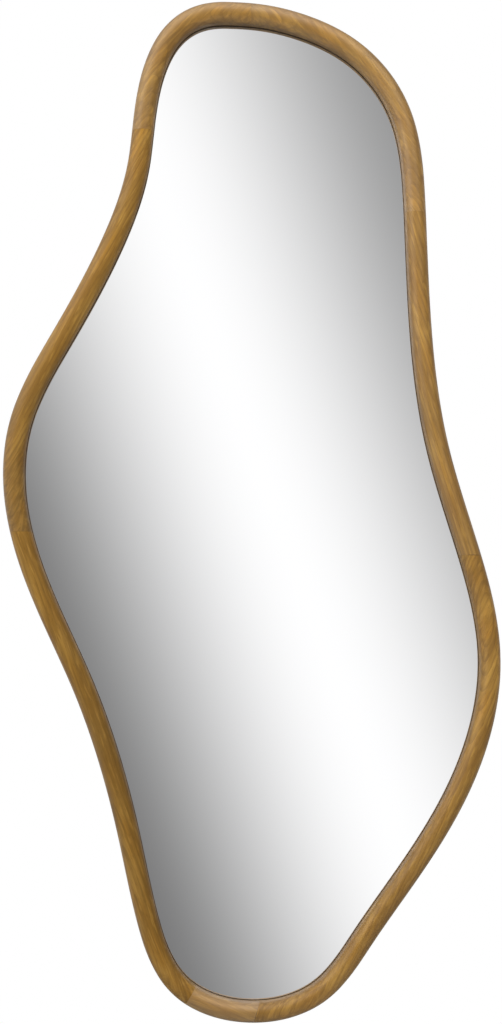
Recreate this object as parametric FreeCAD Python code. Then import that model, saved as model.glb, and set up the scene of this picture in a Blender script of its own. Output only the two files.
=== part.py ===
import FreeCAD, Part
import os
from cmath import exp, phase
from collections import namedtuple
from math import ceil, degrees, pi, radians, sqrt

from FreeCAD import Placement, Rotation, Vector

# A wavy wall mirror. Millimetres, Z up, X to the right as seen from the front, the front faces -Y.
# The wall is the plane Y = 0 and the hanger hinge pins are at Z = 0.
# A point of the front view is a complex number: X is its real part and Z its imaginary part.

# Middle line of the frame bar, anticlockwise from the top. A smooth closed curve runs through the points.
BAR_PATH = (
    (-36, 221), (-106, 194), (-144, 100), (-156, 10), (-191, -93), (-260, -223), (-318, -344), (-324, -448),
    (-283, -587), (-231, -703), (-169, -905), (-144, -1018), (-100, -1112), (0, -1149), (94, -1121),
    (154, -1047), (225, -945), (291, -829), (327, -669), (296, -510), (256, -375), (231, -190), (224, -40),
    (201, 91), (133, 173), (50, 210),
)
ARC_PAIRS_PER_SPAN = 2

# Bar section: half-round front, a rebate for the pane, a second one for the board, rounded outer back edge.
BAR_WIDTH = 29.0
BAR_DEPTH = 33.5
BACK_EDGE_RADIUS = 4.0
WALL_GAP = 6.0
PANE_OVERLAP = 5.0
PANE_CLEARANCE = 1.0
LEDGE_WIDTH = 7.5
BOARD_CLEARANCE = 0.5

# Layers behind the lip, front to back.
GASKET_THICKNESS = 2.5
GASKET_REVEAL = 0.4
PANE_THICKNESS = 4.0
TAPE_THICKNESS = 1.0
TAPE_WIDTH = 25.0
TAPE_PITCH = 200.0
TAPE_MARGIN = 15.0
BOARD_THICKNESS = 3.0
BOARD_RECESS = 1.0

# Where each segment ends: share of the way round the path, and the direction its cut faces in degrees.
SEGMENT_ENDS = {
    "frame_top_left": (0.068, 270.0),
    "frame_left_upper": (0.2485, 270.0),
    "frame_left_lower": (0.458, -30.0),
    "frame_bottom_left": (0.487, -16.0),
    "frame_bottom_right": (0.607, 61.0),
    "frame_right_lower": (0.7205, 90.0),
    "frame_right_upper": (0.867, 90.0),
    "frame_top_right": (0.989, 180.0),
}

# Two dowels cross each joint: how far outward of the middle line and how far behind the crest.
DOWEL_SPOTS = ((0.0, 11.0), (6.0, 23.0))
DOWEL_DIAMETER = 6.0
DOWEL_LENGTH = 30.0
DOWEL_CHAMFER = 0.8
DOWEL_FIT = 0.1
DOWEL_END_GAP = 1.0

# Pan-head screws: diameters, head height and length under the head.
Screw = namedtuple("Screw", "head_diameter head_height shank_diameter length")
BOARD_SCREW = Screw(6.0, 2.0, 3.0, 12.0)
HANGER_SCREW = Screw(6.0, 2.0, 3.5, 16.0)
BOARD_SCREW_PITCH = 190.0
SCREW_PILOT_FIT = 0.05
SCREW_HOLE_FIT = 0.25
SCREW_SLOT_WIDTH = 0.9
SCREW_SLOT_SHARE = 0.6

# Strap hangers: a strip rolled into an eye at its upper end, and a D-shaped wire ring swinging in the eye.
STRAP_WIDTH = 10.0
STRAP_LENGTH = 38.0
STRAP_THICKNESS = 1.0
STRAP_SCREW_DROPS = (7.0, 28.0)
EYE_CLEARANCE = 0.25
EYE_SEAM = 0.6
RING_WIRE_DIAMETER = 3.0
RING_INNER_WIDTH = 13.0
RING_ARM = 5.0
RING_CORNER_RADIUS = 2.5
RING_LEAN = 4.0
HANGER_SEARCH = {"left": (0.0, 0.2), "right": (1.0, 0.8)}

# Rubber bumpers that keep the frame off the wall: share of the way round the path.
BUMPER_STATIONS = (0.27, 0.44, 0.55, 0.69)
BUMPER_DIAMETER = 11.0
BUMPER_WALL_DIAMETER = 9.5
BUMPER_EDGE_RADIUS = 0.6

STRAIGHT_TURN = 1e-5
SEARCH_TOLERANCE = 0.001
HALF_BAR = BAR_WIDTH / 2
BACK_Y = -WALL_GAP
CREST_Y = BACK_Y - BAR_DEPTH
SHOULDER_Y = CREST_Y + HALF_BAR
BOARD_BACK_Y = BACK_Y - BOARD_RECESS
LEDGE_Y = BOARD_BACK_Y - BOARD_THICKNESS
PANE_BACK_Y = LEDGE_Y - TAPE_THICKNESS
PANE_FRONT_Y = PANE_BACK_Y - PANE_THICKNESS
LIP_Y = PANE_FRONT_Y - GASKET_THICKNESS

# Distances inward of the middle line.
PANE_EDGE = HALF_BAR - PANE_OVERLAP
PANE_REBATE = PANE_EDGE - PANE_CLEARANCE
BOARD_REBATE = PANE_REBATE - LEDGE_WIDTH
BOARD_EDGE = BOARD_REBATE + BOARD_CLEARANCE
LEDGE_MIDDLE = (PANE_REBATE + BOARD_REBATE) / 2
BACK_MIDDLE = (BOARD_REBATE + BACK_EDGE_RADIUS - HALF_BAR) / 2

RING_WIRE_RADIUS = RING_WIRE_DIAMETER / 2
EYE_INNER_RADIUS = RING_WIRE_RADIUS + EYE_CLEARANCE
EYE_OUTER_RADIUS = EYE_INNER_RADIUS + STRAP_THICKNESS
PIN_Y = BACK_Y + EYE_OUTER_RADIUS

# One arc of a path: its start point, its heading there, its length, and its curvature (left turns positive).
Bend = namedtuple("Bend", "start heading length curvature")


def along(first, second):
    """Length of one flat vector along another."""
    return (first * second.conjugate()).real


def walk(bend, distance):
    """Point and heading some distance along a bend."""
    turn = bend.curvature * distance
    if bend.curvature == 0:
        return bend.start + bend.heading * distance, bend.heading
    point = bend.start + bend.heading * (exp(1j * turn) - 1) / (1j * bend.curvature)
    return point, bend.heading * exp(1j * turn)


def bend_to(start, heading, end):
    """The arc that leaves a point with a heading and ends at another point."""
    chord = (end - start) / heading
    turn = 2 * phase(chord)
    if abs(turn) < STRAIGHT_TURN:
        return Bend(start, heading, abs(chord), 0.0)
    curvature = 2 * chord.imag / abs(chord) ** 2
    return Bend(start, heading, turn / curvature, curvature)


def arc_pair(start, start_heading, end, end_heading):
    """Two arcs that meet smoothly and join two points with the given headings."""
    gap = end - start
    ahead = along(gap, start_heading + end_heading)
    sharpness = 2 * (1 - along(start_heading, end_heading))
    reach = abs(gap) ** 2 / (ahead + sqrt(ahead ** 2 + sharpness * abs(gap) ** 2))
    meeting = (start + end + reach * (start_heading - end_heading)) / 2
    first = bend_to(start, start_heading, meeting)
    second = bend_to(meeting, walk(first, first.length)[1], end)
    return [first, second]


def smooth_path(points):
    """Chain of arcs along the closed smooth curve through the points."""
    curve = Part.BSplineCurve()
    curve.interpolate([Vector(x, 0, z) for x, z in points], PeriodicFlag=True)
    knots = curve.getKnots()
    places = []
    for low, high in zip(knots, knots[1:]):
        for step in range(ARC_PAIRS_PER_SPAN):
            spot = low + (high - low) * step / ARC_PAIRS_PER_SPAN
            point = curve.value(spot)
            heading = curve.tangent(spot)[0]
            places.append((complex(point.x, point.z), complex(heading.x, heading.z)))
    bends = []
    for here, ahead in zip(places, places[1:] + places[:1]):
        bends += arc_pair(*here, *ahead)
    return bends


def shifted(bend, inward):
    """The same bend moved to its left."""
    scale = 1 - bend.curvature * inward
    start = bend.start + 1j * bend.heading * inward
    return Bend(start, bend.heading, bend.length * scale, bend.curvature / scale)


def in_space(point, y):
    """Point of the front view at a depth."""
    return Vector(point.real, y, point.imag)


def bend_edge(bend, y):
    """The bend as an edge at a depth."""
    start = in_space(bend.start, y)
    end = in_space(walk(bend, bend.length)[0], y)
    if bend.curvature == 0:
        return Part.makeLine(start, end)
    middle = in_space(walk(bend, bend.length / 2)[0], y)
    return Part.Arc(start, middle, end).toShape()


def sheet(inward, y, thickness):
    """Plate bounded by the path moved inward, from one depth towards the wall."""
    wire = Part.Wire([bend_edge(shifted(bend, inward), y) for bend in path])
    return Part.Face(wire).extrude(Vector(0, thickness, 0))


def place(share, inward=0.0):
    """Point and heading at a share of the way round the path."""
    distance = share % 1 * perimeter
    for bend in path[:-1]:
        if distance < bend.length:
            break
        distance -= bend.length
    else:
        bend = path[-1]
    point, heading = walk(bend, distance)
    return point + 1j * heading * inward, heading


def standing(point, heading):
    """Placement that turns local +Z to a heading and leaves local +Y facing the wall."""
    return Placement(in_space(point, 0), Rotation(Vector(0, -1, 0), degrees(phase(heading)) - 90))


def placed(shape, placement):
    """Copy of a shape moved from its local frame."""
    moved = shape.copy()
    moved.Placement = placement.multiply(moved.Placement)
    return moved


def fused(shapes):
    """One solid from touching shapes, without the seams between them."""
    if len(shapes) == 1:
        return shapes[0]
    return shapes[0].multiFuse(shapes[1:]).removeSplitter()


def swept(bends, section):
    """Solid left by carrying a section along bends. The section gives edges for a map from inward and depth."""
    pieces = []
    for bend in bends:
        side = 1j * bend.heading

        def lift(inward, y):
            return in_space(bend.start + side * inward, y)

        face = Part.Face(Part.Wire(section(lift)))
        if bend.curvature == 0:
            pieces.append(face.extrude(in_space(bend.heading * bend.length, 0)))
        else:
            centre = in_space(bend.start + side / bend.curvature, 0)
            pieces.append(face.revolve(centre, Vector(0, -1, 0), degrees(bend.length * bend.curvature)))
    return fused(pieces)


def bar_section(lift):
    """Outline of the frame bar."""
    bow = BACK_EDGE_RADIUS * (1 - sqrt(0.5))
    corners = [
        (-HALF_BAR, SHOULDER_Y),
        (-HALF_BAR, BACK_Y - BACK_EDGE_RADIUS),
        (BACK_EDGE_RADIUS - HALF_BAR, BACK_Y),
        (BOARD_REBATE, BACK_Y),
        (BOARD_REBATE, LEDGE_Y),
        (PANE_REBATE, LEDGE_Y),
        (PANE_REBATE, LIP_Y),
        (HALF_BAR, LIP_Y),
        (HALF_BAR, SHOULDER_Y),
    ]
    points = [lift(*corner) for corner in corners]
    edges = [Part.makeLine(start, end) for start, end in zip(points, points[1:])]
    edges[1] = Part.Arc(points[1], lift(bow - HALF_BAR, BACK_Y - bow), points[2]).toShape()
    edges.append(Part.Arc(points[-1], lift(0, CREST_Y), points[0]).toShape())
    return edges


def wire_section(lift):
    """Outline of the ring wire, around the hinge pin line."""
    rim = [lift(RING_WIRE_RADIUS, PIN_Y), lift(0, PIN_Y - RING_WIRE_RADIUS), lift(-RING_WIRE_RADIUS, PIN_Y)]
    return [Part.Circle(*rim).toShape()]


def cylinder(radius, start_y, end_y, right=0.0, up=0.0):
    """Round bar along Y."""
    return Part.makeCylinder(radius, end_y - start_y, Vector(right, start_y, up), Vector(0, 1, 0))


def turned(outline):
    """Solid turned about the Y axis from a half outline of radius and height."""
    points = [Vector(radius, height, 0) for radius, height in outline]
    return Part.Face(Part.makePolygon(points + points[:1])).revolve(Vector(), Vector(0, 1, 0), 360)


def make_screw(kind):
    """Cross-slot screw pointing along -Y, with the underside of its head at Y = 0."""
    head = kind.head_diameter / 2
    shank = kind.shank_diameter / 2
    tip = kind.shank_diameter - kind.length
    bevel = kind.head_height / 2
    body = turned([
        (0, -kind.length), (shank, tip), (shank, 0), (head, 0), (head, bevel), (head - bevel, kind.head_height),
        (0, kind.head_height),
    ])
    span = kind.head_diameter * SCREW_SLOT_SHARE
    corner = Vector(-span / 2, bevel, -SCREW_SLOT_WIDTH / 2)
    slot = Part.makeBox(span, kind.head_height, SCREW_SLOT_WIDTH, corner)
    cross = slot.copy()
    cross.rotate(Vector(), Vector(0, 1, 0), 90)
    return body.cut(slot).cut(cross)


def end_block(point, heading):
    """Block that fills everything ahead of a cut."""
    reach = 4 * BAR_WIDTH
    corner = Vector(-reach / 2, CREST_Y - HALF_BAR, 0)
    return placed(Part.makeBox(reach, BAR_DEPTH + BAR_WIDTH, reach, corner), standing(point, heading))


def make_segment(start, end):
    """Piece of the bar between two cuts, each a share of the path and a facing."""
    margin = BAR_WIDTH / perimeter
    reached = 0.0
    bends = []
    for bend in path:
        low = reached / perimeter
        reached += bend.length
        for lap in (-1, 0):
            if low + lap < end[0] + margin and reached / perimeter + lap > start[0] - margin:
                bends.append((low + lap, bend))
    segment = swept([bend for _, bend in sorted(bends)], bar_section)
    for share, facing in ((start[0], start[1] + 180), end):
        segment = segment.cut(end_block(place(share)[0], exp(1j * radians(facing))))
    return segment


def joint_pegs(cut, fit, end_gap, chamfer):
    """Round pegs across a cut: the dowels, or the holes for them."""
    pegs = []
    for outward, behind in DOWEL_SPOTS:
        share, facing = cut
        length = DOWEL_LENGTH + 2 * end_gap
        start = Vector(outward, CREST_Y + behind, -length / 2)
        peg = Part.makeCylinder(DOWEL_DIAMETER / 2 + fit, length, start, Vector(0, 0, 1))
        if chamfer:
            rims = [edge for edge in peg.Edges if len(edge.Vertexes) == 1]
            peg = peg.makeChamfer(chamfer, rims)
        pegs.append(placed(peg, standing(place(share)[0], exp(1j * radians(facing)))))
    return pegs


def hanger_spot(search):
    """Placement of a hanger: its pin is level with Z = 0, and local +Z points up along the bar."""
    low, high = search
    while abs(high - low) * perimeter > SEARCH_TOLERANCE:
        middle = (low + high) / 2
        if place(middle, BACK_MIDDLE)[0].imag > 0:
            low = middle
        else:
            high = middle
    point, heading = place(high, BACK_MIDDLE)
    if heading.imag < 0:
        heading = -heading
    return standing(point, heading)


def make_strap():
    """Hanger strap in its local frame, hanging from the pin line."""
    half = STRAP_WIDTH / 2
    foot = half - STRAP_LENGTH
    top_y = BACK_Y + STRAP_THICKNESS
    plate = Part.makeBox(STRAP_WIDTH, STRAP_THICKNESS, -foot, Vector(-half, BACK_Y, foot))
    tongue = cylinder(half, BACK_Y, top_y, 0, foot)
    side = Vector(-half, PIN_Y, 0)
    eye = Part.makeCylinder(EYE_OUTER_RADIUS, STRAP_WIDTH, side, Vector(1, 0, 0))
    bore = Part.makeCylinder(EYE_INNER_RADIUS, STRAP_WIDTH, side, Vector(1, 0, 0))
    seam = Part.makeBox(STRAP_WIDTH, EYE_SEAM, EYE_OUTER_RADIUS, Vector(-half, top_y, -EYE_OUTER_RADIUS))
    strap = fused([plate, tongue, eye]).cut(bore).cut(seam)
    for drop in STRAP_SCREW_DROPS:
        strap = strap.cut(cylinder(HANGER_SCREW.shank_diameter / 2 + SCREW_HOLE_FIT, BACK_Y, top_y, 0, -drop))
    return strap


def make_ring():
    """D-shaped wire ring in the strap's local frame, up and leaning towards the frame."""
    half = RING_INNER_WIDTH / 2 + RING_WIRE_RADIUS
    flat = half - RING_CORNER_RADIUS
    quarter = RING_CORNER_RADIUS * pi / 2
    sharp = 1 / RING_CORNER_RADIUS
    arm = RING_ARM - RING_CORNER_RADIUS
    bends = [
        Bend(complex(-flat, 0), 1, 2 * flat, 0),
        Bend(complex(flat, 0), 1, quarter, sharp),
        Bend(complex(half, RING_CORNER_RADIUS), 1j, arm, 0),
        Bend(complex(half, RING_ARM), 1j, half * pi, 1 / half),
        Bend(complex(-half, RING_ARM), -1j, arm, 0),
        Bend(complex(-half, RING_CORNER_RADIUS), -1j, quarter, sharp),
    ]
    ring = swept(bends, wire_section)
    ring.rotate(Vector(0, PIN_Y, 0), Vector(1, 0, 0), RING_LEAN)
    return ring


def make_bumper():
    """Tapered rubber bumper from the frame back to the wall, in the local frame of its place."""
    base = BUMPER_DIAMETER / 2
    tip = BUMPER_WALL_DIAMETER / 2
    body = turned([(0, BACK_Y), (base, BACK_Y), (tip, 0), (0, 0)])
    rim = [edge for edge in body.Edges if edge.BoundBox.YMin > BACK_Y / 2 and edge.BoundBox.XLength > tip]
    return body.makeFillet(BUMPER_EDGE_RADIUS, rim)


def make_tape():
    """Level strips of tape between the pane and the board."""
    field = sheet(PANE_EDGE + TAPE_MARGIN, PANE_BACK_Y, TAPE_THICKNESS)
    box = field.BoundBox
    count = int((box.ZLength - TAPE_WIDTH) / TAPE_PITCH) + 1
    first = box.Center.z - (count - 1) * TAPE_PITCH / 2 - TAPE_WIDTH / 2
    strips = []
    for row in range(count):
        corner = Vector(box.XMin, PANE_BACK_Y, first + row * TAPE_PITCH)
        strips += field.common(Part.makeBox(box.XLength, TAPE_THICKNESS, TAPE_WIDTH, corner)).Solids
    return strips


path = smooth_path(BAR_PATH)
perimeter = sum(bend.length for bend in path)

cuts = list(SEGMENT_ENDS.values())
starts = [(cuts[-1][0] - 1, cuts[-1][1])] + cuts[:-1]
segments = {}
for name, start, end in zip(SEGMENT_ENDS, starts, cuts):
    segments[name] = make_segment(start, end)
    for cut in (start, end):
        for hole in joint_pegs(cut, DOWEL_FIT, DOWEL_END_GAP, 0):
            segments[name] = segments[name].cut(hole)
dowels = [peg for cut in cuts for peg in joint_pegs(cut, 0, 0, DOWEL_CHAMFER)]

board = sheet(BOARD_EDGE, LEDGE_Y, BOARD_THICKNESS)
board_screw = placed(make_screw(BOARD_SCREW), Placement(Vector(0, BOARD_BACK_Y, 0), Rotation()))
board_shank = BOARD_SCREW.shank_diameter / 2
board_pilot = cylinder(board_shank + SCREW_PILOT_FIT, BOARD_BACK_Y - BOARD_SCREW.length, LEDGE_Y)
board_hole = cylinder(board_shank + SCREW_HOLE_FIT, LEDGE_Y, BOARD_BACK_Y)
board_screws = []
for name, start, end in zip(SEGMENT_ENDS, starts, cuts):
    count = ceil((end[0] - start[0]) * perimeter / BOARD_SCREW_PITCH)
    for index in range(count):
        spot = standing(*place(start[0] + (end[0] - start[0]) * (index + 0.5) / count, LEDGE_MIDDLE))
        board_screws.append(placed(board_screw, spot))
        board = board.cut(placed(board_hole, spot))
        segments[name] = segments[name].cut(placed(board_pilot, spot))

strap = make_strap()
ring = make_ring()
strap_top_y = BACK_Y + STRAP_THICKNESS
hanger_shank = HANGER_SCREW.shank_diameter / 2
hangers = {}
for side, search in HANGER_SEARCH.items():
    spot = hanger_spot(search)
    screws = []
    for drop in STRAP_SCREW_DROPS:
        screw = placed(make_screw(HANGER_SCREW), Placement(Vector(0, strap_top_y, -drop), Rotation()))
        screws.append(placed(screw, spot))
        pilot_end = strap_top_y - HANGER_SCREW.length
        pilot = placed(cylinder(hanger_shank + SCREW_PILOT_FIT, pilot_end, BACK_Y, 0, -drop), spot)
        for name in segments:
            if segments[name].BoundBox.intersect(pilot.BoundBox):
                segments[name] = segments[name].cut(pilot)
    hangers["hanger_strap_" + side] = placed(strap, spot)
    hangers["hanger_ring_" + side] = placed(ring, spot)
    hangers["hanger_screws_" + side] = Part.makeCompound(screws)

bumper = make_bumper()
bumpers = [placed(bumper, standing(*place(share, BACK_MIDDLE))) for share in BUMPER_STATIONS]

gasket_hole = sheet(HALF_BAR + GASKET_REVEAL, LIP_Y, GASKET_THICKNESS)
nodes = {
    **segments,
    "frame_dowels": Part.makeCompound(dowels),
    "pane_gasket": sheet(PANE_EDGE, LIP_Y, GASKET_THICKNESS).cut(gasket_hole),
    "mirror_pane": sheet(PANE_EDGE, PANE_FRONT_Y, PANE_THICKNESS),
    "pane_tape": Part.makeCompound(make_tape()),
    "backing_board": board,
    "board_screws": Part.makeCompound(board_screws),
    **hangers,
    "wall_bumpers": Part.makeCompound(bumpers),
}

os.makedirs("parts", exist_ok=True)
for name, shape in nodes.items():
    shape.exportStep("parts/" + name + ".step")
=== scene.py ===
from collections import namedtuple
from math import cos, pi, radians, sin

import bpy
import numpy as np
from bpy.props import FloatProperty, FloatVectorProperty, PointerProperty
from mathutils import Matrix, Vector, kdtree


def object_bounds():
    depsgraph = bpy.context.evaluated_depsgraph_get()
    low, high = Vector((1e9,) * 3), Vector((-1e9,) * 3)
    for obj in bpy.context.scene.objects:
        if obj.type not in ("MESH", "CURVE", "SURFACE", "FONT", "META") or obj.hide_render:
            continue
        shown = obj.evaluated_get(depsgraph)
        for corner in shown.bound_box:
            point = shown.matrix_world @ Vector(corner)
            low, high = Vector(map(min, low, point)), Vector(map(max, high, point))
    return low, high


bl_info = {
    "name": "Wavy wall mirror",
    "version": (1, 0, 0),
    "blender": (4, 5, 0),
    "location": "3D View > Sidebar > Mirror",
    "description": "Finishes for the pieces of a wavy wall mirror, and a studio to look at it in",
    "category": "3D View",
}

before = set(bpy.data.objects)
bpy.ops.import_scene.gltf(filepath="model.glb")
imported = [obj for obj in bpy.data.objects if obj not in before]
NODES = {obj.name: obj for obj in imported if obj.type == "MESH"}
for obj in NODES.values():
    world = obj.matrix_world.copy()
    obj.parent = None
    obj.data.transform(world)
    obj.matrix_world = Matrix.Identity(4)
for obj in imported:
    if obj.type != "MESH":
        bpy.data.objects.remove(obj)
CAD_LOW, CAD_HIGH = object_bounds()
CREST = CAD_LOW.y

# The boards that the frame's segments are cut from, in order round the mirror, anticlockwise as seen from the
# front: their segments, the turn of the grain from level in degrees, the factor on the board's colour at its
# start, middle and end, which is partly the board's own tone and partly painted shade that darkens the lower
# left of the frame, and how much it shines, where one is the most.
Board = namedtuple("Board", "segments grain lightness shine")
BOARDS = (
    Board(("frame_top_left",), 47, (1.08, 0.92, 1.02), 0.85),
    Board(("frame_left_upper",), 60, (1.04, 1.07, 0.71), 0.45),
    Board(("frame_left_lower",), 110, (1.0, 0.75, 0.93), 0.3),
    Board(("frame_bottom_left",), -22, (1.02, 1.02, 0.9), 1.0),
    Board(("frame_bottom_right", "frame_right_lower"), 65, (0.99, 0.99, 1.02), 0.55),
    Board(("frame_right_upper",), 108, (0.92, 0.99, 1.09), 0.75),
    Board(("frame_top_right",), 128, (1.06, 1.04, 1.02), 1.0),
)
SCREWS = ("board_screws", "hanger_screws_left", "hanger_screws_right")
HANGERS = ("hanger_strap_left", "hanger_strap_right", "hanger_ring_left", "hanger_ring_right")

# Points of two segments that lie nearer than this belong to the cut between them.
TOUCH = 0.00002

# How dark the glue line at the start of a segment is, where it isn't faint.
CLEAR_JOINTS = {"frame_right_upper": 0.9, "frame_bottom_right": 0.85, "frame_right_lower": 0.0}
FAINT_JOINT = 0.2

# Where a glue line starts to fade and where it has faded, beside the middle of the bar, and the share left.
FADE_START = 0.004
FADE_END = 0.009
FADE_REST = 0.2

# Turn of a board's log round the bar in radians: the first board's, and from each board to the next.
FIRST_LOG = 0.6
NEXT_LOG = 2.4

# Patterns made from noise: the sizes of their spots along the three axes, how many finer layers they have,
# the noise at which they start and at which they are full, and where in the noise they lie. Those of the wood
# have their first axis along the grain.
Pattern = namedtuple("Pattern", "spots detail start full seed")
WOOD_PATCHES = Pattern((0.06, 0.022, 0.022), 2, 0.38, 0.62, 13)
WOOD_CLOUDS = Pattern((0.3, 0.016, 0.016), 3, 0.35, 0.65, 3)
WOOD_BANDS = Pattern((0.1, 0.006, 0.006), 2, 0.4, 0.62, 11)
WOOD_FIBRES = Pattern((0.09, 0.004, 0.004), 3, 0.42, 0.62, 5)
WOOD_FLECKS = Pattern((0.03, 0.005, 0.003), 1, 0.55, 0.75, 9)
WOOD_PORES = Pattern((0.008, 0.0008, 0.0008), 1, 0.6, 0.7, 7)
GLASS_SMEARS = Pattern((0.11, 0.11, 0.2), 4, 0.45, 0.75, 0)
BOARD_FELT = Pattern((0.0014, 0.0014, 0.0014), 5, 0.35, 0.7, 0)
BOARD_CLOUDS = Pattern((0.07, 0.07, 0.07), 3, 0.3, 0.7, 2)
BOARD_FLECKS = Pattern((0.0024, 0.0024, 0.006), 2, 0.62, 0.7, 4)
ZINC_PATCHES = Pattern((0.006, 0.006, 0.006), 3, 0.4, 0.7, 0)
RUBBER_DUST = Pattern((0.004, 0.004, 0.004), 4, 0.5, 0.75, 1)

# Spots of the noise that bends the growth rings, and of the noises that are used as they are.
RING_SPOTS = (0.25, 0.06, 0.06)
BEECH_SPOTS = (0.0033, 0.0033, 0.0033)
GRIT_SPOTS = (0.0004, 0.0004, 0.0004)
GRAIN_SPOTS = (0.00055, 0.00055, 0.00055)
MOTTLE_SPOTS = (0.17, 0.17, 0.17)

# The range that most of a noise lies in, and its middle.
NOISE_LOW = 0.3
NOISE_HIGH = 0.7
NOISE_MIDDLE = 0.5

# Width of one band of the wave texture at a scale of one.
WAVE_WIDTH = pi / 10

# The part of each growth ring at which its dark late wood starts.
LATE_START = 0.5

# Height of the wood's fibres, where a pore is one deep.
FIBRE_HEIGHT = 0.5

# Depths of the finest relief of each finish in metres.
WOOD_RELIEF = 0.00005
BOARD_RELIEF = 0.00015
ZINC_RELIEF = 0.00004
RUBBER_RELIEF = 0.00006

# How light the second tone of a finish is beside its first.
BEECH_DARK = 0.6
FOAM_PALE = 2.2
BOARD_PALE = 1.25
ZINC_DULL = 0.72
FLOOR_PALE = 1.04

# Lowest and highest roughness of the raw board and of the rubber.
BOARD_ROUGH = (0.7, 0.9)
RUBBER_ROUGH = (0.55, 0.75)

# How far the plating's roughness goes below and above its own, and the noise at which it is roughest.
ZINC_BELOW = 0.08
ZINC_ABOVE = 0.14
ZINC_ROUGHEST = 0.75

# Brightest way of the studio as gloss shows it: overhead, to the left and ahead of the mirror.
CANOPY_WAY = Vector((-0.22, -0.64, 0.735))

# Where the studio's bright parts end, as cosines: the canopy by the angle from its brightest way, the wall on
# the left by the angle from the right, the backdrop, where it is full, by the angle from straight behind, and
# the glow, where it starts and is full, by the angle from straight ahead.
CANOPY_EDGE = 0.3
WALL_EDGE = -0.4
BACKDROP_FULL = 0.5
GLOW_EDGE = 0.8
GLOW_FULL = 0.935

# Least distance ahead that the glow is worked out for, which keeps it from being divided by nothing.
LEAST_AHEAD = 0.05


def length(name, description, default):
    """A size in metres."""
    return FloatProperty(name=name, description=description, default=default, unit="LENGTH", precision=5)


def share(name, description, default):
    """A share from nothing to all."""
    return FloatProperty(name=name, description=description, default=default, min=0, max=1, subtype="FACTOR")


def colour(name, description, default):
    """A colour."""
    return FloatVectorProperty(
        name=name, description=description, default=default, min=0, max=1, subtype="COLOR",
    )


def angle(name, description, default):
    """A turn in radians."""
    return FloatProperty(name=name, description=description, default=default, subtype="ANGLE")


def power(name, description, default):
    """The power of a lamp in watts."""
    return FloatProperty(name=name, description=description, default=default, unit="POWER")


def number(name, description, default):
    """A plain number."""
    return FloatProperty(name=name, description=description, default=default)


class WoodSettings(bpy.types.PropertyGroup):
    """Oiled wood of the frame."""
    pale: colour("Pale wood", "Wood between the growth rings", (0.51, 0.284, 0.058))
    amber: colour("Amber wood", "Warmer patches of the board", (0.405, 0.199, 0.027))
    brown: colour("Brown wood", "Darker stretches of the board", (0.235, 0.118, 0.018))
    late: colour("Late wood", "Dark edge of each growth ring", (0.14, 0.066, 0.009))
    pore: colour("Pores", "Open pores filled with old oil", (0.07, 0.029, 0.005))
    cloud_share: share("Clouds", "Strength of the long brown clouds", 0.8)
    ring_share: share("Rings", "Strength of the growth rings", 0.42)
    band_share: share("Bands", "Strength of the brown bands along the grain", 0.45)
    streak_share: share("Streaks", "Strength of the dark streaks along the grain", 0.35)
    fleck_share: share("Flecks", "Strength of the pale flecks", 0.5)
    pore_share: share("Pore strength", "Strength of the open pores", 0.3)
    ring_spacing: length("Ring spacing", "Distance from one growth ring to the next", 0.0055)
    pith_distance: length("Pith distance", "Distance from a segment to the middle of its log", 0.075)
    ring_wander: length("Ring wander", "How far the rings stray from true circles", 0.012)
    glue_line: length("Glue line", "Half width of the dark line at a joint", 0.0006)
    roughness: share("Roughness", "Roughness of the oiled surface", 0.46)
    roughness_swing: share("Roughness swing", "How far the fibres change the roughness", 0.06)
    oil_ior: number("Oil", "Refractive index of the oil on the wood", 1.6)


class PaneSettings(bpy.types.PropertyGroup):
    """Silvered glass."""
    tint: colour("Tint", "What the silver behind the glass gives back", (0.97, 0.97, 0.975))
    roughness: share("Roughness", "Roughness of wiped glass where it is smeared", 0.02)
    clean_share: share("Clean glass", "Roughness of clean glass beside smeared glass", 0.25)


class BackSettings(bpy.types.PropertyGroup):
    """Board, rubber, foam, dowels and hardware."""
    board: colour("Board", "Raw fibreboard", (0.33, 0.215, 0.12))
    board_dark: colour("Board flecks", "Bark flecks in the fibreboard", (0.13, 0.075, 0.04))
    felt_share: share("Board felt", "Strength of the dark fibres in the fibreboard", 0.4)
    fleck_share: share("Board fleck strength", "Strength of the bark flecks", 0.7)
    rubber: colour("Rubber", "Bumpers", (0.022, 0.022, 0.023))
    dust: share("Dust", "How much lighter dust makes the rubber", 0.04)
    gasket: colour("Gasket", "Brown foam of the gasket", (0.05, 0.036, 0.022))
    gasket_cell: length("Gasket cell", "Width of the gasket's cells", 0.0004)
    tape: colour("Tape", "Dark foam of the tape", (0.012, 0.012, 0.013))
    tape_cell: length("Tape cell", "Width of the tape's cells", 0.0002)
    dowel: colour("Dowels", "Plain beech", (0.52, 0.34, 0.19))
    zinc: colour("Zinc", "Plated steel of the hangers and screws", (0.66, 0.67, 0.69))
    hanger_roughness: share("Hanger roughness", "Roughness of the plated hangers", 0.26)
    screw_roughness: share("Screw roughness", "Roughness of the plated screws", 0.34)


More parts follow.
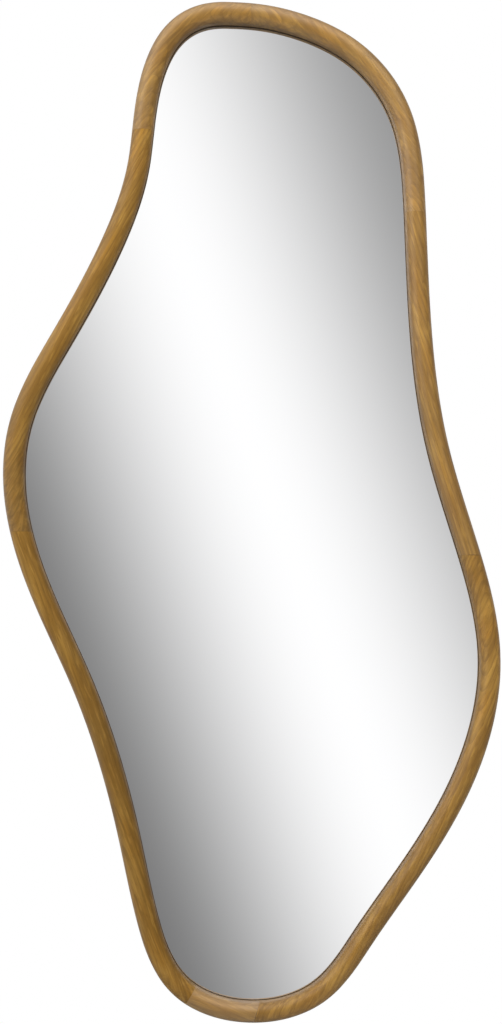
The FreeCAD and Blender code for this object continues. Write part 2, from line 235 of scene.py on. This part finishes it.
class StageSettings(bpy.types.PropertyGroup):
    """Camera, lamps, floor and backdrop."""
    distance: length("Camera distance", "From the camera to the widest plane of the frame bar", 2.6)
    eye_side: length("Eye side", "Place of the camera to the right of the middle", -0.0007)
    eye_height: length("Eye height", "Height of the camera above the hangers", -0.639)
    view_height: length("View height", "Height of the picture at the widest plane of the bar", 1.4043)
    view_centre: length("View centre", "Height of the picture's middle above the hangers", -0.4633)
    bar_width: length("Bar width", "Width of the bar, which is widest half of it behind the crest", 0.029)
    floor_size: length("Floor size", "Side of the square floor", 3.0)
    floor_ahead: length("Floor ahead", "From the wall to the middle of the floor", 0.5)
    floor_drop: length("Floor drop", "From the lowest point of the mirror to the floor", 0.6)
    floor: colour("Floor", "Pale studio floor", (0.6, 0.6, 0.59))
    ambient: share("Ambient", "Brightness of the studio all round", 0.12)
    key_power: power("Key lamp", "Power of the lamp on the left", 70)
    fill_power: power("Fill lamp", "Power of the lamp on the right", 60)
    rear_power: power("Rear lamp", "Power of the lamp behind", 75)
    lamp_distance: length("Lamp distance", "From each lamp to the middle of the mirror", 3.5)
    lamp_size: length("Lamp size", "Side of each square lamp", 1.6)
    lamp_swing: angle("Lamp swing", "Turn of each front lamp from straight ahead", 0.61)
    lamp_rise: angle("Lamp rise", "Height of the front lamps above level", 0.3)
    rear_rise: angle("Rear lamp rise", "Height of the rear lamp above level", 0.3)
    canopy: number("Canopy", "Brightness overhead, seen in gloss", 2.4)
    wall: share("Wall", "Brightness of the wall on the left, seen in gloss", 0.8)
    backdrop: share("Backdrop", "Brightness of the wall behind the mirror, seen in gloss", 0.45)
    gloom: share("Gloom", "Brightness of the rest of the studio, seen in gloss", 0.25)
    glow: number("Glow", "Brightness of the glow in the mirror", 1.03)
    glow_turn: angle("Glow turn", "Lean of the glow from upright", 0.353)
    glow_offset: number("Glow offset", "Middle of the glow beside straight ahead, per distance ahead", 0.0355)
    glow_spread: number("Glow spread", "Half width of the glow, per distance ahead", 0.144)
    left_dusk: share("Left dusk", "Tone of the studio to the lower left of the mirror's glow", 0.19)
    right_dusk: share("Right dusk", "Tone of the studio to the upper right of the mirror's glow", 0.315)


class MirrorSettings(bpy.types.PropertyGroup):
    """All that can be set."""
    wood: PointerProperty(type=WoodSettings)
    pane: PointerProperty(type=PaneSettings)
    back: PointerProperty(type=BackSettings)
    stage: PointerProperty(type=StageSettings)


def add(tree, kind, inputs, **settings):
    """New node with its settings, and with each named input set or linked."""
    node = tree.nodes.new("ShaderNode" + kind)
    for name, value in settings.items():
        setattr(node, name, value)
    for name, value in inputs.items():
        if isinstance(value, bpy.types.NodeSocket):
            tree.links.new(value, node.inputs[name])
        else:
            node.inputs[name].default_value = value
    return node


def calculate(tree, operation, *values):
    """Result of a math node."""
    return add(tree, "Math", dict(enumerate(values)), operation=operation).outputs[0]


def combine(tree, operation, *vectors):
    """Vector that a vector math node makes of others."""
    return add(tree, "VectorMath", dict(enumerate(vectors)), operation=operation).outputs["Vector"]


def stretch(tree, vector, factor):
    """Vector times a number."""
    return add(tree, "VectorMath", {0: vector, "Scale": factor}, operation="SCALE").outputs["Vector"]


def measure(tree, operation, *vectors):
    """Number that a vector math node makes of vectors."""
    return add(tree, "VectorMath", dict(enumerate(vectors)), operation=operation).outputs["Value"]


def remap(tree, value, low, high, to_low=0.0, to_high=1.0, smooth=False):
    """Value moved from one range to another and held there."""
    inputs = {"Value": value, "From Min": low, "From Max": high, "To Min": to_low, "To Max": to_high}
    kind = "SMOOTHSTEP" if smooth else "LINEAR"
    return add(tree, "MapRange", inputs, interpolation_type=kind).outputs["Result"]


def blend(tree, factor, first, second):
    """Mixed colour. A plain colour is given as three numbers."""
    node = tree.nodes.new("ShaderNodeMix")
    node.data_type = "RGBA"
    for index, value in ((0, factor), (6, first), (7, second)):
        if isinstance(value, bpy.types.NodeSocket):
            tree.links.new(value, node.inputs[index])
        elif index == 0:
            node.inputs[index].default_value = value
        else:
            node.inputs[index].default_value = (*value, 1.0)
    return node.outputs[2]


def blend_part(tree, factor, strength, first, second):
    """Mixed colour, where a full factor gives only a share of the second colour."""
    return blend(tree, calculate(tree, "MULTIPLY", factor, strength), first, second)


def noise(tree, place, spots, detail=2.0, seed=0.0):
    """Noise whose spots have three sizes in metres."""
    scale = [1 / size for size in spots]
    stretched = add(tree, "Mapping", {"Vector": place, "Location": (seed, seed, seed), "Scale": scale})
    return add(tree, "TexNoise", {"Vector": stretched.outputs[0], "Scale": 1.0, "Detail": detail})


def pattern_noise(tree, place, pattern, seed=0.0):
    """Noise that a pattern is made from."""
    return noise(tree, place, pattern.spots, pattern.detail, seed + pattern.seed).outputs["Fac"]


def pattern_mask(tree, place, pattern, seed=0.0):
    """Strength of a pattern, from none to full."""
    return remap(tree, pattern_noise(tree, place, pattern, seed), pattern.start, pattern.full)


def vary(tree, spots, low, high):
    """Values from low to high that follow a noise."""
    return remap(tree, spots, NOISE_LOW, NOISE_HIGH, low, high)


def shade(tone, factor):
    """A colour made lighter or darker."""
    return tuple(min(1.0, factor * part) for part in tone)


def new_material(name):
    """Material with only its shader and output, the node tree, the shader and the object coordinates."""
    material = bpy.data.materials.new(name)
    material.use_nodes = True
    tree = material.node_tree
    tree.nodes.clear()
    shader = add(tree, "BsdfPrincipled", {})
    add(tree, "OutputMaterial", {"Surface": shader.outputs[0]})
    place = add(tree, "TexCoord", {}).outputs["Object"]
    return material, tree, shader, place


def connect(tree, shader, **inputs):
    """Links or sets the shader's inputs, named in small letters with underscores for spaces."""
    sockets = {socket.name.lower().replace(" ", "_"): socket for socket in shader.inputs}
    for name, value in inputs.items():
        if isinstance(value, bpy.types.NodeSocket):
            tree.links.new(value, sockets[name])
        else:
            sockets[name].default_value = value


def bump(tree, height, depth):
    """Normal of a surface with a height of at most a depth in metres."""
    return add(tree, "Bump", {"Height": height, "Strength": 1.0, "Distance": depth}).outputs[0]


def dress(name, material):
    """Gives a CAD node a finish."""
    for slot in NODES[name].material_slots:
        slot.material = material


def cut_between(first, second):
    """Middle, facing and clearness of the cut where a segment meets the one before it."""
    others = [vertex.co for vertex in NODES[second].data.vertices]
    tree = kdtree.KDTree(len(others))
    for index, point in enumerate(others):
        tree.insert(point, index)
    tree.balance()
    shared = [vertex.co for vertex in NODES[first].data.vertices if tree.find(vertex.co)[2] < TOUCH]
    if len(shared) < 3:
        raise RuntimeError(first + " and " + second + " share no cut")
    points = np.array(shared)
    middle = points.mean(axis=0)
    facing = np.linalg.svd(points - middle)[2][2]
    return Vector(middle), Vector(facing), CLEAR_JOINTS.get(first, FAINT_JOINT)


def glue_mask(tree, place, cut, half_width):
    """Strength of the glue line on a cut: clearest on the crest of the bar, and zero away from the cut."""
    middle, facing, clearness = cut
    gap = combine(tree, "SUBTRACT", place, middle)
    across = calculate(tree, "ABSOLUTE", measure(tree, "DOT_PRODUCT", gap, facing))
    line = remap(tree, across, half_width / 2, half_width, 1.0, 0.0)
    aside = measure(tree, "LENGTH", combine(tree, "MULTIPLY", gap, (1.0, 0.0, 1.0)))
    fade = remap(tree, aside, FADE_START, FADE_END, clearness, FADE_REST * clearness)
    return calculate(tree, "MULTIPLY", line, fade)


def board_tone_and_shade(tree, place, cuts, lightness):
    """Factor on a board's colour, which changes steadily from its first cut to its middle and on to its last:
    partly the board's own tone, partly painted shade where it is low on the lower left of the frame.
    """
    first, last = cuts[0][0], cuts[-1][0]
    start, middle, end = lightness
    run = last - first
    gap = combine(tree, "SUBTRACT", place, first)
    along = measure(tree, "DOT_PRODUCT", gap, run / run.length_squared)
    first_half = remap(tree, along, 0.0, 0.5, start, middle)
    return calculate(tree, "ADD", first_half, remap(tree, along, 0.5, 1.0, 0.0, end - middle))


def wood_finish(board, cuts, seed, wood):
    """Oiled wood with the straight grain of one board."""
    material, tree, shader, place = new_material("wood_" + board.segments[0])
    turn = radians(board.grain)
    lean = NEXT_LOG * seed + FIRST_LOG
    log = Vector((-sin(turn) * cos(lean), sin(lean), cos(turn) * cos(lean)))
    pith = (cuts[0][0] + cuts[-1][0]) / 2 + log * wood.pith_distance
    lie = {"Vector": place, "Location": pith, "Rotation": (0.0, -turn, 0.0)}
    lengthwise = add(tree, "Mapping", lie, vector_type="TEXTURE").outputs[0]

    wander = noise(tree, lengthwise, RING_SPOTS, detail=3, seed=seed).outputs["Color"]
    wander = combine(tree, "SUBTRACT", wander, (NOISE_MIDDLE, NOISE_MIDDLE, NOISE_MIDDLE))
    grown = combine(tree, "ADD", lengthwise, stretch(tree, wander, wood.ring_wander))
    rings = add(
        tree, "TexWave", {"Vector": grown, "Scale": WAVE_WIDTH / wood.ring_spacing, "Distortion": 0.0},
        wave_type="RINGS", rings_direction="X", wave_profile="SAW",
    ).outputs["Fac"]
    late = remap(tree, rings, LATE_START, 1.0, smooth=True)
    fibre = pattern_noise(tree, grown, WOOD_FIBRES, seed)
    streak = remap(tree, fibre, WOOD_FIBRES.start, WOOD_FIBRES.full)
    pores = pattern_mask(tree, grown, WOOD_PORES, seed)
    glue = glue_mask(tree, place, cuts[0], wood.glue_line)
    for cut in cuts[1:]:
        glue = calculate(tree, "MAXIMUM", glue, glue_mask(tree, place, cut, wood.glue_line))

    tone = blend(tree, pattern_mask(tree, grown, WOOD_PATCHES, seed), wood.pale, wood.amber)
    clouds = pattern_mask(tree, grown, WOOD_CLOUDS, seed)
    tone = blend_part(tree, clouds, wood.cloud_share, tone, wood.brown)
    tone = blend_part(tree, late, wood.ring_share, tone, wood.late)
    bands = pattern_mask(tree, grown, WOOD_BANDS, seed)
    tone = blend_part(tree, bands, wood.band_share, tone, wood.brown)
    tone = blend_part(tree, streak, wood.streak_share, tone, wood.late)
    flecks = pattern_mask(tree, grown, WOOD_FLECKS, seed)
    tone = blend_part(tree, flecks, wood.fleck_share, tone, wood.pale)
    tone = blend_part(tree, pores, wood.pore_share, tone, wood.pore)
    tone = blend(tree, glue, tone, wood.pore)
    # The board's colour is scaled for its own tone and for painted shade on the lower left of the frame.
    tone = stretch(tree, tone, board_tone_and_shade(tree, place, cuts, board.lightness))

    relief = calculate(tree, "SUBTRACT", calculate(tree, "MULTIPLY", fibre, FIBRE_HEIGHT), pores)
    relief = calculate(tree, "SUBTRACT", relief, glue)
    rough = vary(tree, fibre, wood.roughness - wood.roughness_swing, wood.roughness + wood.roughness_swing)
    connect(tree, shader, base_color=tone, roughness=rough, normal=bump(tree, relief, WOOD_RELIEF))
    connect(tree, shader, ior=wood.oil_ior, specular_ior_level=board.shine)
    return material


def plain_wood_finish(name, wood_colour):
    """Plain beech for pieces that stay inside the frame."""
    material, tree, shader, place = new_material(name)
    fibre = noise(tree, place, BEECH_SPOTS, detail=3).outputs["Fac"]
    dark = shade(wood_colour, BEECH_DARK)
    connect(tree, shader, base_color=blend(tree, fibre, wood_colour, dark), roughness=0.7)
    return material


def silver_finish(pane):
    """Silvered float glass, wiped but not spotless."""
    material, tree, shader, place = new_material("silvered_glass")
    smears = pattern_noise(tree, place, GLASS_SMEARS)
    clean = pane.roughness * pane.clean_share
    rough = remap(tree, smears, GLASS_SMEARS.start, GLASS_SMEARS.full, clean, pane.roughness)
    connect(tree, shader, base_color=(*pane.tint, 1.0), metallic=1.0, roughness=rough)
    return material


def foam_finish(name, foam_colour, cell):
    """Closed-cell foam with fine open cells on its cut faces."""
    material, tree, shader, place = new_material(name)
    cells = add(tree, "TexVoronoi", {"Vector": place, "Scale": 1 / cell}).outputs["Distance"]
    pale = shade(foam_colour, FOAM_PALE)
    cell_depth = cell / 3
    connect(tree, shader, base_color=blend(tree, cells, foam_colour, pale), roughness=0.9)
    connect(tree, shader, normal=bump(tree, cells, cell_depth), specular_ior_level=0.2)
    return material


def board_finish(back):
    """Raw fibreboard: pale felted fibres with dark flecks."""
    material, tree, shader, place = new_material("fibreboard")
    felt = pattern_noise(tree, place, BOARD_FELT)
    fibres = remap(tree, felt, BOARD_FELT.start, BOARD_FELT.full, 0.0, back.felt_share)
    pale = shade(back.board, BOARD_PALE)
    tone = blend(tree, pattern_mask(tree, place, BOARD_CLOUDS), back.board, pale)
    tone = blend(tree, fibres, tone, back.board_dark)
    flecks = pattern_mask(tree, place, BOARD_FLECKS)
    tone = blend_part(tree, flecks, back.fleck_share, tone, back.board_dark)
    connect(tree, shader, base_color=tone, roughness=vary(tree, felt, *BOARD_ROUGH))
    connect(tree, shader, normal=bump(tree, felt, BOARD_RELIEF))
    return material


def zinc_finish(name, zinc, roughness):
    """Zinc-plated steel, tumbled, with dull patches."""
    material, tree, shader, place = new_material(name)
    patches = pattern_noise(tree, place, ZINC_PATCHES)
    grit = noise(tree, place, GRIT_SPOTS, seed=1.0).outputs["Fac"]
    dull = shade(zinc, ZINC_DULL)
    tone = blend(tree, remap(tree, patches, ZINC_PATCHES.start, ZINC_PATCHES.full), zinc, dull)
    smoothest, roughest = roughness - ZINC_BELOW, roughness + ZINC_ABOVE
    rough = remap(tree, patches, NOISE_LOW, ZINC_ROUGHEST, smoothest, roughest)
    connect(tree, shader, base_color=tone, metallic=1.0, roughness=rough)
    connect(tree, shader, normal=bump(tree, grit, ZINC_RELIEF))
    return material


def rubber_finish(back):
    """Moulded rubber with a fine matt grain and a little dust."""
    material, tree, shader, place = new_material("bumper_rubber")
    grain = noise(tree, place, GRAIN_SPOTS).outputs["Fac"]
    dusty = tuple(back.dust + part for part in back.rubber)
    tone = blend(tree, pattern_mask(tree, place, RUBBER_DUST), back.rubber, dusty)
    connect(tree, shader, base_color=tone, roughness=vary(tree, grain, *RUBBER_ROUGH))
    connect(tree, shader, normal=bump(tree, grain, RUBBER_RELIEF))
    return material


class FinishFrame(bpy.types.Operator):
    """Oil the wooden frame, each segment with the grain of its own board"""
    bl_idname = "wavy_mirror.finish_frame"
    bl_label = "Finish the frame"

    def execute(self, context):
        wood = context.scene.wavy_mirror.wood
        segments = [name for board in BOARDS for name in board.segments]
        cuts = [cut_between(name, segments[index - 1]) for index, name in enumerate(segments)]
        first = 0
        for seed, board in enumerate(BOARDS):
            last = first + len(board.segments)
            finish = wood_finish(board, (cuts + cuts[:1])[first:last + 1], float(seed), wood)
            for name in board.segments:
                dress(name, finish)
            first = last
        dress("frame_dowels", plain_wood_finish("beech", context.scene.wavy_mirror.back.dowel))
        return {"FINISHED"}


class FinishPane(bpy.types.Operator):
    """Silver the pane"""
    bl_idname = "wavy_mirror.finish_pane"
    bl_label = "Finish the pane"

    def execute(self, context):
        dress("mirror_pane", silver_finish(context.scene.wavy_mirror.pane))
        return {"FINISHED"}


class FinishFoam(bpy.types.Operator):
    """Give the gasket and the tape their foam"""
    bl_idname = "wavy_mirror.finish_foam"
    bl_label = "Finish the foam"

    def execute(self, context):
        back = context.scene.wavy_mirror.back
        dress("pane_gasket", foam_finish("gasket_foam", back.gasket, back.gasket_cell))
        dress("pane_tape", foam_finish("tape_foam", back.tape, back.tape_cell))
        return {"FINISHED"}


class FinishBoard(bpy.types.Operator):
    """Give the backing board its raw fibre face"""
    bl_idname = "wavy_mirror.finish_board"
    bl_label = "Finish the backing board"

    def execute(self, context):
        dress("backing_board", board_finish(context.scene.wavy_mirror.back))
        return {"FINISHED"}


class FinishHardware(bpy.types.Operator):
    """Plate the hangers and screws"""
    bl_idname = "wavy_mirror.finish_hardware"
    bl_label = "Finish the hangers and screws"

    def execute(self, context):
        back = context.scene.wavy_mirror.back
        plate = zinc_finish("hanger_zinc", back.zinc, back.hanger_roughness)
        for name in HANGERS:
            dress(name, plate)
        screw = zinc_finish("screw_zinc", back.zinc, back.screw_roughness)
        for name in SCREWS:
            dress(name, screw)
        return {"FINISHED"}


class FinishBumpers(bpy.types.Operator):
    """Give the wall bumpers their rubber"""
    bl_idname = "wavy_mirror.finish_bumpers"
    bl_label = "Finish the bumpers"

    def execute(self, context):
        dress("wall_bumpers", rubber_finish(context.scene.wavy_mirror.back))
        return {"FINISHED"}


def add_camera(stage):
    """Camera in front of the mirror, framing it as the reference picture does."""
    plane = CREST + stage.bar_width / 2
    spot = (stage.eye_side, plane - stage.distance, stage.eye_height)
    bpy.ops.object.camera_add(location=spot, rotation=(pi / 2, 0, 0))
    camera = bpy.context.object
    camera.data.lens = camera.data.sensor_width * stage.distance / stage.view_height
    camera.data.shift_y = (stage.view_centre - stage.eye_height) / stage.view_height
    bpy.context.scene.camera = camera


def add_lamp(name, stage, swing, rise, watts):
    """Square soft lamp turned to the middle of the mirror. Gloss shows the painted studio in its place."""
    level = cos(rise)
    way = Vector((sin(swing) * level, -cos(swing) * level, sin(rise)))
    place = Vector((0.0, 0.0, stage.view_centre)) + way * stage.lamp_distance
    bpy.ops.object.light_add(type="AREA", location=place)
    lamp = bpy.context.object
    lamp.name = name
    lamp.rotation_euler = (-way).to_track_quat("-Z", "Y").to_euler()
    lamp.data.size = stage.lamp_size
    lamp.data.energy = watts
    lamp.visible_glossy = False


def add_floor(stage):
    """Pale floor below the hanging mirror, short enough to stay out of its reflection."""
    place = (0, -stage.floor_ahead, CAD_LOW.z - stage.floor_drop)
    bpy.ops.mesh.primitive_plane_add(size=stage.floor_size, location=place)
    floor = bpy.context.object
    floor.name = "studio_floor"
    material, tree, shader, spot = new_material("studio_floor")
    mottle = noise(tree, spot, MOTTLE_SPOTS, detail=3).outputs["Fac"]
    pale = shade(stage.floor, FLOOR_PALE)
    connect(tree, shader, base_color=blend(tree, mottle, stage.floor, pale), roughness=0.8)
    floor.data.materials.append(material)


def paint_glow(tree, way, ahead, stage):
    """Leaning band of light that the mirror shows the camera, darker to both sides."""
    lean = (cos(stage.glow_turn), 0.0, sin(stage.glow_turn))
    across = measure(tree, "DOT_PRODUCT", way, lean)
    slope = calculate(tree, "SUBTRACT", calculate(tree, "DIVIDE", across, ahead), stage.glow_offset)
    left = remap(tree, slope, -stage.glow_spread, 0.0, stage.left_dusk, stage.glow, smooth=True)
    right = remap(tree, slope, 0.0, stage.glow_spread, stage.glow, stage.right_dusk, smooth=True)
    return calculate(tree, "MINIMUM", left, right)


def paint_studio(tree, way, parts, stage):
    """Canopy, left wall and backdrop of the studio, with gloom between them."""
    bright = measure(tree, "DOT_PRODUCT", way, CANOPY_WAY)
    canopy = remap(tree, bright, CANOPY_EDGE, 1.0, stage.gloom, stage.canopy, smooth=True)
    wall = remap(tree, parts.outputs["X"], -1.0, WALL_EDGE, stage.wall, 0.0, smooth=True)
    behind = remap(tree, parts.outputs["Y"], 0.0, BACKDROP_FULL, 0.0, stage.backdrop, smooth=True)
    return calculate(tree, "ADD", calculate(tree, "ADD", canopy, wall), behind)


def paint_world(stage):
    """White to the camera, even to matt surfaces, and to gloss a studio with a glow ahead of the mirror."""
    world = bpy.data.worlds.new("studio")
    bpy.context.scene.world = world
    world.use_nodes = True
    tree = world.node_tree
    tree.nodes.clear()
    way = add(tree, "TexCoord", {}).outputs["Generated"]
    parts = add(tree, "SeparateXYZ", {0: way})
    ahead = calculate(tree, "MAXIMUM", calculate(tree, "MULTIPLY", parts.outputs["Y"], -1.0), LEAST_AHEAD)
    glow = paint_glow(tree, way, ahead, stage)
    studio = paint_studio(tree, way, parts, stage)
    front = remap(tree, ahead, GLOW_EDGE, GLOW_FULL, smooth=True)
    glow = calculate(tree, "MULTIPLY_ADD", front, calculate(tree, "SUBTRACT", glow, studio), studio)
    path = add(tree, "LightPath", {})
    gloss = calculate(tree, "MAXIMUM", path.outputs["Is Glossy Ray"], path.outputs["Is Transmission Ray"])
    gloss = calculate(tree, "GREATER_THAN", gloss, path.outputs["Diffuse Depth"])
    seen = blend(tree, gloss, (stage.ambient, stage.ambient, stage.ambient), glow)
    seen = blend(tree, path.outputs["Is Camera Ray"], seen, (1.0, 1.0, 1.0))
    sky = add(tree, "Background", {"Color": seen, "Strength": 1.0})
    add(tree, "OutputWorld", {"Surface": sky.outputs[0]})


class BuildStage(bpy.types.Operator):
    """Set up the camera, the lamps, the floor and the backdrop"""
    bl_idname = "wavy_mirror.build_stage"
    bl_label = "Build the stage"

    def execute(self, context):
        stage = context.scene.wavy_mirror.stage
        bpy.ops.object.select_all(action="DESELECT")
        add_camera(stage)
        add_lamp("key_lamp", stage, -stage.lamp_swing, stage.lamp_rise, stage.key_power)
        add_lamp("fill_lamp", stage, stage.lamp_swing, stage.lamp_rise, stage.fill_power)
        add_lamp("rear_lamp", stage, pi, stage.rear_rise, stage.rear_power)
        add_floor(stage)
        paint_world(stage)
        context.scene.view_settings.view_transform = "Standard"
        return {"FINISHED"}


class MirrorPanel(bpy.types.Panel):
    """Buttons and settings of the mirror"""
    bl_idname = "VIEW3D_PT_wavy_mirror"
    bl_label = "Wavy mirror"
    bl_space_type = "VIEW_3D"
    bl_region_type = "UI"
    bl_category = "Mirror"

    def draw(self, context):
        settings = context.scene.wavy_mirror
        for operator in OPERATORS:
            self.layout.operator(operator.bl_idname)
        for group in (settings.wood, settings.pane, settings.back, settings.stage):
            box = self.layout.box()
            for name in group.__annotations__:
                box.prop(group, name)


OPERATORS = (FinishFrame, FinishPane, FinishFoam, FinishBoard, FinishHardware, FinishBumpers, BuildStage)
CLASSES = (WoodSettings, PaneSettings, BackSettings, StageSettings, MirrorSettings, *OPERATORS, MirrorPanel)


def register():
    for kind in CLASSES:
        bpy.utils.register_class(kind)
    bpy.types.Scene.wavy_mirror = PointerProperty(type=MirrorSettings)


def unregister():
    del bpy.types.Scene.wavy_mirror
    for kind in reversed(CLASSES):
        bpy.utils.unregister_class(kind)


def main():
    """Dress the mirror and build its stage."""
    register()
    bpy.ops.wavy_mirror.finish_frame()
    bpy.ops.wavy_mirror.finish_pane()
    bpy.ops.wavy_mirror.finish_foam()
    bpy.ops.wavy_mirror.finish_board()
    bpy.ops.wavy_mirror.finish_hardware()
    bpy.ops.wavy_mirror.finish_bumpers()
    bpy.ops.wavy_mirror.build_stage()


if __name__ == "__main__":
    main()
